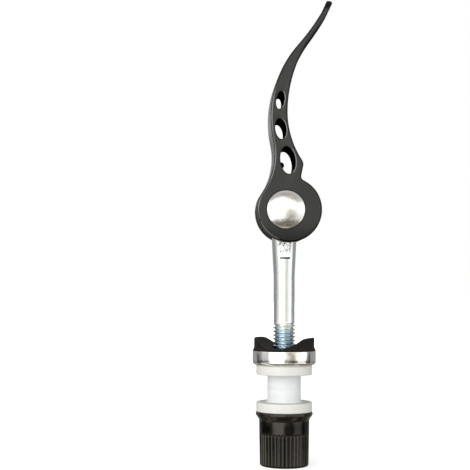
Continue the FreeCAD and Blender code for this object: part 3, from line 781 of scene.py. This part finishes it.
# Cap nut
# A shell moulded in glossy black plastic with a flared collar. Flutes with arched tops run down to the foot
# for the fingers, and a smooth band stays between them and the collar.
NUT_HEIGHT = 14.6
FOOT_HALF = 6.55
FOOT_MIDDLE = 2.0
BAND_HALF = 6.75
BAND_TOP = 12.5
TAPER_HEIGHT = 12.6
COLLAR_HALF = 7.7
COLLAR_RISE = 13.85
LIP_HALF = 7.55
POCKET_MOUTH = 5.9
POCKET_FOOT = 5.85
POCKET_FLOOR = 7.2
POCKET_SLACK = 0.01
HEXAGON_HALF = 5.02
NUT_BORE = 3.25
NUT_FLOOR = 2.6
FLUTE_COUNT = 42
COLUMNS_A_FLUTE = 12
FLUTE_TOP = 9 * MM
FLUTE_HALF_WIDTH = 0.43 * MM
FLUTE_DEPTH = 0.3 * MM
FLUTED_RADIUS = 6.2 * MM
# heights of the rows of the flank's mesh, close together where the flutes' arches end
FLANK_ROWS = (
    0.9, 2.0, 3.5, 5.0, 6.5, 8.0, 8.6, 8.66, 8.72, 8.78, 8.83, 8.88, 8.92, 8.95, 8.98, 9.03, 9.3, 10.5,
)
GLOSS_BLACK = (0.0012, 0.0009, 0.0006, 1)
GLOSS_BROWN = (0.0036, 0.0027, 0.002, 1)
GLOSS_RUBBED = (0.009, 0.0072, 0.0056, 1)

gloss, tree, shader, place = new_finish(
    "glossy_black", Specular_IOR_Level=0.44, Specular_Tint=(1.0, 0.91, 0.8, 1))
gloss_grain = use_grain(tree, place, speck_size=0.4 * MM, cloud_size=2.5 * MM)
gloss_rubs = use_rubs(tree, place, stretch=(1.0, 1.0, 0.12), mark_size=0.5 * MM)
brownish = blend_colours(tree, gloss_grain["Cloud"], GLOSS_BLACK, GLOSS_BROWN)
feed(tree, shader, Base_Color=blend_colours(tree, gloss_rubs["Marks"], brownish, GLOSS_RUBBED))
feed(tree, shader, Roughness=spread(tree, gloss_rubs["Smear"], 0.08, 0.14))
handled = reckon(tree, "MULTIPLY_ADD", gloss_rubs["Marks"], -0.4, gloss_grain["Cloud"])
press_relief(tree, shader, handled, depth=0.012 * MM)

# Presses the flutes into the turned shell: a round groove in each sector that narrows to an arch at the top.
flutes, flutes_in, flutes_out = new_group(
    "pressed_flutes",
    "GeometryNodeTree",
    [("Geometry", "Geometry"), ("Count", "Int"), ("Top", "Float"), ("Half Width", "Float"),
     ("Depth", "Float"), ("Least Radius", "Float")],
    [("Geometry", "Geometry")],
)


def squared_sum(tree, first, second):
    """The squares of two values, added."""
    return reckon(tree, "MULTIPLY_ADD", first, first, times(tree, second, second))


size_of = flutes_in.outputs
spot = parts_of(flutes, flutes.nodes.new("GeometryNodeInputPosition").outputs[0])
reach = reckon(flutes, "SQRT", squared_sum(flutes, spot["X"], spot["Y"]))
bearing = reckon(flutes, "DIVIDE", reckon(flutes, "ARCTAN2", spot["Y"], spot["X"]), math.tau)
sector = reckon(flutes, "FRACT", times(flutes, reckon(flutes, "ADD", bearing, 1.0), size_of["Count"]))
sector_width = reckon(flutes, "DIVIDE", times(flutes, reach, math.tau), size_of["Count"])
aside = times(flutes, reckon(flutes, "SUBTRACT", sector, 0.5), sector_width)
arch_start = reckon(flutes, "SUBTRACT", size_of["Top"], size_of["Half Width"])
over_arch = reckon(flutes, "MAXIMUM", reckon(flutes, "SUBTRACT", spot["Z"], arch_start), 0.0)
off_flute = reckon(flutes, "SQRT", squared_sum(flutes, aside, over_arch))
off_share = reckon(flutes, "DIVIDE", off_flute, size_of["Half Width"])
hollow = reckon(flutes, "SUBTRACT", 1.0, times(flutes, off_share, off_share))
hollow = reckon(flutes, "SQRT", reckon(flutes, "MAXIMUM", hollow, 0.0))
on_outside = reckon(flutes, "GREATER_THAN", reach, size_of["Least Radius"])
sunk = times(flutes, hollow, size_of["Depth"], on_outside)
sunk_share = reckon(flutes, "DIVIDE", sunk, reckon(flutes, "MAXIMUM", reach, TOUCH))
shrink = reckon(flutes, "SUBTRACT", 1.0, sunk_share)
pressed_place = add_node(flutes, "ShaderNodeCombineXYZ", {
    "X": times(flutes, spot["X"], shrink), "Y": times(flutes, spot["Y"], shrink), "Z": spot["Z"],
}).outputs[0]
grooved = add_node(flutes, "GeometryNodeSetPosition", {
    "Geometry": size_of["Geometry"], "Position": pressed_place,
})
end_tree(flutes, flutes_out, grooved.outputs[0], gloss)


def flank_at(up):
    """The half width of the nut's slightly tapered flank at a height."""
    return FOOT_HALF + (BAND_HALF - FOOT_HALF) * up / TAPER_HEIGHT


nut_points = round_outline(
    [(0, 0, 0), (FOOT_MIDDLE, 0, 0), (FOOT_HALF, 0, 0.55)]
    + [(flank_at(up), up, 0) for up in FLANK_ROWS]
    + [(BAND_HALF, BAND_TOP, 1.2), (COLLAR_HALF, COLLAR_RISE, 0.35), (LIP_HALF, NUT_HEIGHT, 0.25)]
    + [(POCKET_MOUTH, NUT_HEIGHT, 0), (POCKET_FOOT, POCKET_FLOOR, 0)]
    + [(NUT_BORE, POCKET_FLOOR, 0), (NUT_BORE, NUT_FLOOR, 0), (0, NUT_FLOOR, 0)]
)
nut_skin = turned_skin(nut_points, FLUTE_COUNT * COLUMNS_A_FLUTE, closed=False)
# the pocket's two rings are drawn in to a hexagon
for vertex in nut_skin.verts:
    reach = math.hypot(vertex.co.x, vertex.co.y) / MM
    if min(abs(reach - POCKET_MOUTH), abs(reach - POCKET_FOOT)) < POCKET_SLACK:
        bearing = math.atan2(vertex.co.y, vertex.co.x)
        off_flat = (bearing + math.tau) % (math.tau / 6) - math.tau / 12
        wall = HEXAGON_HALF / math.cos(off_flat) / reach
        vertex.co.x *= wall
        vertex.co.y *= wall
fluted_nut = new_piece("fluted_nut", nut_skin)
grow(fluted_nut, flutes, {
    "Count": FLUTE_COUNT,
    "Top": FLUTE_TOP,
    "Half Width": FLUTE_HALF_WIDTH,
    "Depth": FLUTE_DEPTH,
    "Least Radius": FLUTED_RADIUS,
})
shade_round(fluted_nut, crease=40)
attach(fluted_nut, "nut")
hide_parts("nut_shell")

# Studio
# A pale floor and a white surround. A wide soft light stands on the left and a narrower one on the right, and
# a dim room with two bright windows is there for the bright parts to mirror.
FLOOR_HALF = 4.0
FLOOR_GREY = (0.9, 0.9, 0.9, 1)
FLOOR_LIFT = (0.1, 0.7)
WHITE = (1, 1, 1, 1)
AMBIENT = 0.45

paper, tree, shader, place = new_finish("pale_floor", Roughness=0.9, Base_Color=FLOOR_GREY)
seen = tree.nodes.new("ShaderNodeLightPath").outputs["Is Camera Ray"]
away = reckon_vector(tree, "LENGTH", place, result="Value")
lift = add_node(tree, "ShaderNodeEmission", {
    "Strength": times(tree, seen, ease(tree, away, *FLOOR_LIFT, 0.5, 1.0)),
})
both = add_node(tree, "ShaderNodeAddShader", {0: shader.outputs[0], 1: lift.outputs[0]})
tree.links.new(both.outputs[0], tree.nodes["Material Output"].inputs["Surface"])
floor_corners = [(x * FLOOR_HALF, y * FLOOR_HALF, 0) for x, y in ((-1, -1), (1, -1), (1, 1), (-1, 1))]
floor_sheet = bpy.data.meshes.new("floor")
floor_sheet.from_pydata(floor_corners, [], [(0, 1, 2, 3)])
floor_sheet.materials.append(paper)
floor = show(bpy.data.objects.new("floor", floor_sheet))
floor.visible_glossy = False

surround = bpy.data.worlds.new("white_surround")
bpy.context.scene.world = surround
surround.use_nodes = True
tree = surround.node_tree
ray = tree.nodes.new("ShaderNodeLightPath").outputs
shown = reckon(tree, "MAXIMUM", ray["Is Camera Ray"], ray["Is Glossy Ray"])
shown = reckon(tree, "MAXIMUM", shown, ray["Is Transmission Ray"])
backdrop = tree.nodes["Background"]
backdrop.inputs["Color"].default_value = WHITE
tree.links.new(spread(tree, shown, AMBIENT, 1.0), backdrop.inputs["Strength"])

# What the bright parts mirror: two windows in front with a curtain on the left, a dim gap low between them,
# grey sides, white behind, a dark table below. Bearings from the viewer's side to the right, and heights, are
# in degrees, and a third number is how soft the ends are. The nut mirrors a low dark strip, and the cup, the
# bolt and the dome what lies in turn higher.
ROOM_RADIUS = 0.35
DARK_STRIP = (-8.8, -3.2, 1.4)
PAST_CUP = (4.4, 6.4)
PAST_BOLT = (9.0, 22.0)
LEFT_CORNER = (-121.0, -106.0, 6.0)
RIGHT_CORNER = (91.0, 103.0, 5.0)
LEFT_BEHIND = (-164.0, -152.0)
BEHIND_RISE = (12.0, 18.0)
WINDOW_RISE = (-21.0, 75.0, 2.0)
CURTAIN = (-102.0, -58.0, 4.0)
CURTAIN_SHADE = (-106.0, -86.0)
GAP = (-2.0, 44.0, 3.0)
LOW_FRONT = (-0.085, -0.947, -0.309)
CEILING_EDGE = (68.0, 75.0)
CEILING_RISE = (32.0, 44.0)
CEILING_BACK = (84.0, 92.0)
TABLE_EDGE = (-24.0, -19.5)
LOW_SHEET = (-106.0, -74.0, 5.0)
LOW_SHEET_RISE = (-54.0, -20.0, 3.0)
TABLE_FRONT = (-66.0, -56.5, 1.2)
UNDER_TABLE = (-68.0, -65.0)
LAMP_WARM = (1.0, 0.935, 0.80, 1)
SIDE_LIGHT = (0.16, 0.37)
CORNER_LIGHT = (0.0, 0.11)
CORNER_LIFT = 0.22
BEHIND_LIGHT = (0.3, 1.6)
CURTAIN_LIGHT = (0.15, 0.72)
PLEAT_LIGHT = (0.8, 1.15)
CURTAIN_LIFT = 0.8
STRIP_DIMMING = (0.03, 1.0)
LEFT_WINDOW_LIGHT = 2.4
RIGHT_WINDOW_LIGHT = (0.9, 1.5)
GAP_LIGHT = 1.28
GAP_DIP = 0.78
HIGH_GAP_LIGHT = 1.9
CEILING_LIGHT = (0.27, 0.44)
CEILING_BACK_LIFT = 0.3
TABLE_LIGHT = (0.07, 0.5)
LOW_SHEET_LIGHT = 1.0
TABLE_FRONT_LIGHT = 0.8
UNDER_TABLE_LIGHT = 0.2

mirrored = bpy.data.materials.new("mirrored_room")
mirrored.use_nodes = True
tree = mirrored.node_tree
tree.nodes.clear()
place = tree.nodes.new("ShaderNodeTexCoord").outputs["Object"]
way = reckon_vector(tree, "NORMALIZE", place)
part_of = parts_of(tree, way)
facing = times(tree, part_of["Y"], -1.0)
bearing = reckon(tree, "DEGREES", reckon(tree, "ARCTAN2", part_of["X"], facing))
above = reckon(tree, "DEGREES", reckon(tree, "ARCSINE", part_of["Z"]))
ripple = noise(tree, way, 6.0, 4.0, roughness=0.6)
sway = reckon(tree, "SUBTRACT", ripple, 0.5)
bearing = reckon(tree, "MULTIPLY_ADD", sway, 10.0, bearing)
above = reckon(tree, "MULTIPLY_ADD", sway, -8.0, above)
off_strip = reckon(tree, "SUBTRACT", 1.0, band(tree, above, *DARK_STRIP))
past_cup = ease(tree, above, *PAST_CUP)
past_bolt = ease(tree, above, *PAST_BOLT)


def lay_over(under, mask, value):
    """A level of light with another laid over it where the mask is one."""
    return add_node(tree, "ShaderNodeMix", {0: mask, 2: under, 3: value}).outputs[0]


def by_strip(inside, outside):
    """A value that differs in the dark strip from elsewhere."""
    return spread(tree, off_strip, inside, outside)


def between(rise, fall):
    """One between two soft edges in the room's bearings, each a pair of bounds."""
    return times(tree, ease(tree, bearing, *rise), ease(tree, bearing, *fall, 1.0, 0.0))


corners = reckon(tree, "MAXIMUM", band(tree, bearing, *LEFT_CORNER), band(tree, bearing, *RIGHT_CORNER))
corner_level = reckon(tree, "MULTIPLY_ADD", past_cup, CORNER_LIFT, by_strip(*CORNER_LIGHT))
level = lay_over(by_strip(*SIDE_LIGHT), corners, corner_level)
left_behind = ease(tree, bearing, *LEFT_BEHIND, 1.0, 0.0)
level = lay_over(level, left_behind, ease(tree, above, *BEHIND_RISE, *BEHIND_LIGHT))
window_height = band(tree, above, *WINDOW_RISE)
curtain = times(tree, band(tree, bearing, *CURTAIN), window_height)
pleats = noise(tree, reckon_vector(tree, "MULTIPLY", way, (14.0, 14.0, 0.5)), 1.0, 2.0)
hanging = ease(tree, bearing, *CURTAIN_SHADE, *CURTAIN_LIGHT)
folds = times(tree, hanging, ease(tree, pleats, 0.35, 0.65, *PLEAT_LIGHT))
folds = reckon(tree, "MULTIPLY_ADD", past_bolt, CURTAIN_LIFT, folds)
level = lay_over(level, curtain, times(tree, folds, by_strip(*STRIP_DIMMING)))
left_window = between(
    (by_strip(-72.0, -64.0), by_strip(-36.0, -56.0)), (by_strip(-13.0, -3.0), by_strip(-1.0, 3.0)))
level = lay_over(level, times(tree, left_window, window_height), LEFT_WINDOW_LIGHT)
right_window = between(
    (by_strip(39.0, 36.0), by_strip(50.0, 44.0)), (by_strip(72.0, 80.0), by_strip(82.0, 88.0)))
level = lay_over(level, times(tree, right_window, window_height), by_strip(*RIGHT_WINDOW_LIGHT))
gap = times(tree, band(tree, bearing, *GAP), window_height)
cup_dip = between((0.0, 27.0), (31.0, 40.0))
bolt_dip = between((-4.0, 15.0), (17.0, 48.0))
gap_dip = lay_over(cup_dip, past_cup, bolt_dip)
gap_level = reckon(tree, "MULTIPLY_ADD", gap_dip, -GAP_DIP, GAP_LIGHT)
gap_level = lay_over(times(tree, gap_level, by_strip(*STRIP_DIMMING)), past_bolt, HIGH_GAP_LIGHT)
level = lay_over(level, gap, gap_level)
toward_front = reckon_vector(tree, "DOT_PRODUCT", way, LOW_FRONT, "Value")
off_front = reckon(tree, "DEGREES", reckon(tree, "ARCCOSINE", toward_front))
ceiling = times(tree, ease(tree, off_front, *CEILING_EDGE), ease(tree, above, *CEILING_RISE))
ceiling_shade = ease(tree, ripple, 0.3, 0.7, *CEILING_LIGHT)
ceiling_back = ease(tree, off_front, *CEILING_BACK, 0.0, CEILING_BACK_LIFT)
ceiling_level = reckon(tree, "ADD", ceiling_shade, ceiling_back)
level = lay_over(level, ceiling, ceiling_level)
table = ease(tree, above, *TABLE_EDGE, 1.0, 0.0)
things = noise(tree, way, 10.0, 5.0, roughness=0.7)
level = lay_over(level, table, ease(tree, things, 0.43, 0.59, *TABLE_LIGHT))
low_sheet = times(tree, band(tree, bearing, *LOW_SHEET), band(tree, above, *LOW_SHEET_RISE))
level = lay_over(level, low_sheet, LOW_SHEET_LIGHT)
level = lay_over(level, band(tree, above, *TABLE_FRONT), TABLE_FRONT_LIGHT)
level = lay_over(level, ease(tree, above, *UNDER_TABLE, 1.0, 0.0), UNDER_TABLE_LIGHT)
warm = reckon(tree, "MAXIMUM", table, times(tree, gap, 0.6))
glow = add_node(tree, "ShaderNodeEmission", {
    "Color": blend_colours(tree, warm, WHITE, LAMP_WARM), "Strength": level,
})
add_node(tree, "ShaderNodeOutputMaterial", {"Surface": glow.outputs[0]})
room_skin = bmesh.new()
bmesh.ops.create_uvsphere(room_skin, u_segments=48, v_segments=24, radius=ROOM_RADIUS)
room = new_piece("mirrored_room", room_skin)
room.data.materials.append(mirrored)
room.visible_camera = False
room.visible_diffuse = False
room.visible_transmission = False
room.visible_shadow = False

LIGHT_AIM = Vector((0, 0, 0.06))


def soft_light(name, bearing, distance, height, size, power):
    """A soft box at a bearing from the viewer's side, turned to the part and hidden from mirrors."""
    lamp = bpy.data.lights.new(name, "AREA")
    lamp.shape = "RECTANGLE"
    lamp.size, lamp.size_y = size
    lamp.energy = power
    light = show(bpy.data.objects.new(name, lamp))
    turn = math.radians(bearing)
    light.location = (distance * math.sin(turn), -distance * math.cos(turn), height)
    light.rotation_euler = (LIGHT_AIM - light.location).to_track_quat("-Z", "Y").to_euler()
    light.visible_camera = False
    light.visible_glossy = False


soft_light("left_light", bearing=-32, distance=0.8, height=0.22, size=(1.0, 0.9), power=6.5)
soft_light("right_light", bearing=68, distance=0.8, height=0.2, size=(0.6, 0.8), power=1.6)

camera = bpy.data.cameras.new("camera")
camera.lens = 84.3
camera.sensor_width = 36
camera.shift_x = 0.0902
camera.shift_y = 0.117
camera.clip_start = 0.01
viewpoint = show(bpy.data.objects.new("camera", camera))
viewpoint.location = (-24.7 * MM, -297 * MM, 47.3 * MM)
viewpoint.rotation_euler = (math.radians(90), 0, 0)
bpy.context.scene.camera = viewpoint
bpy.context.scene.view_settings.view_transform = "Standard"
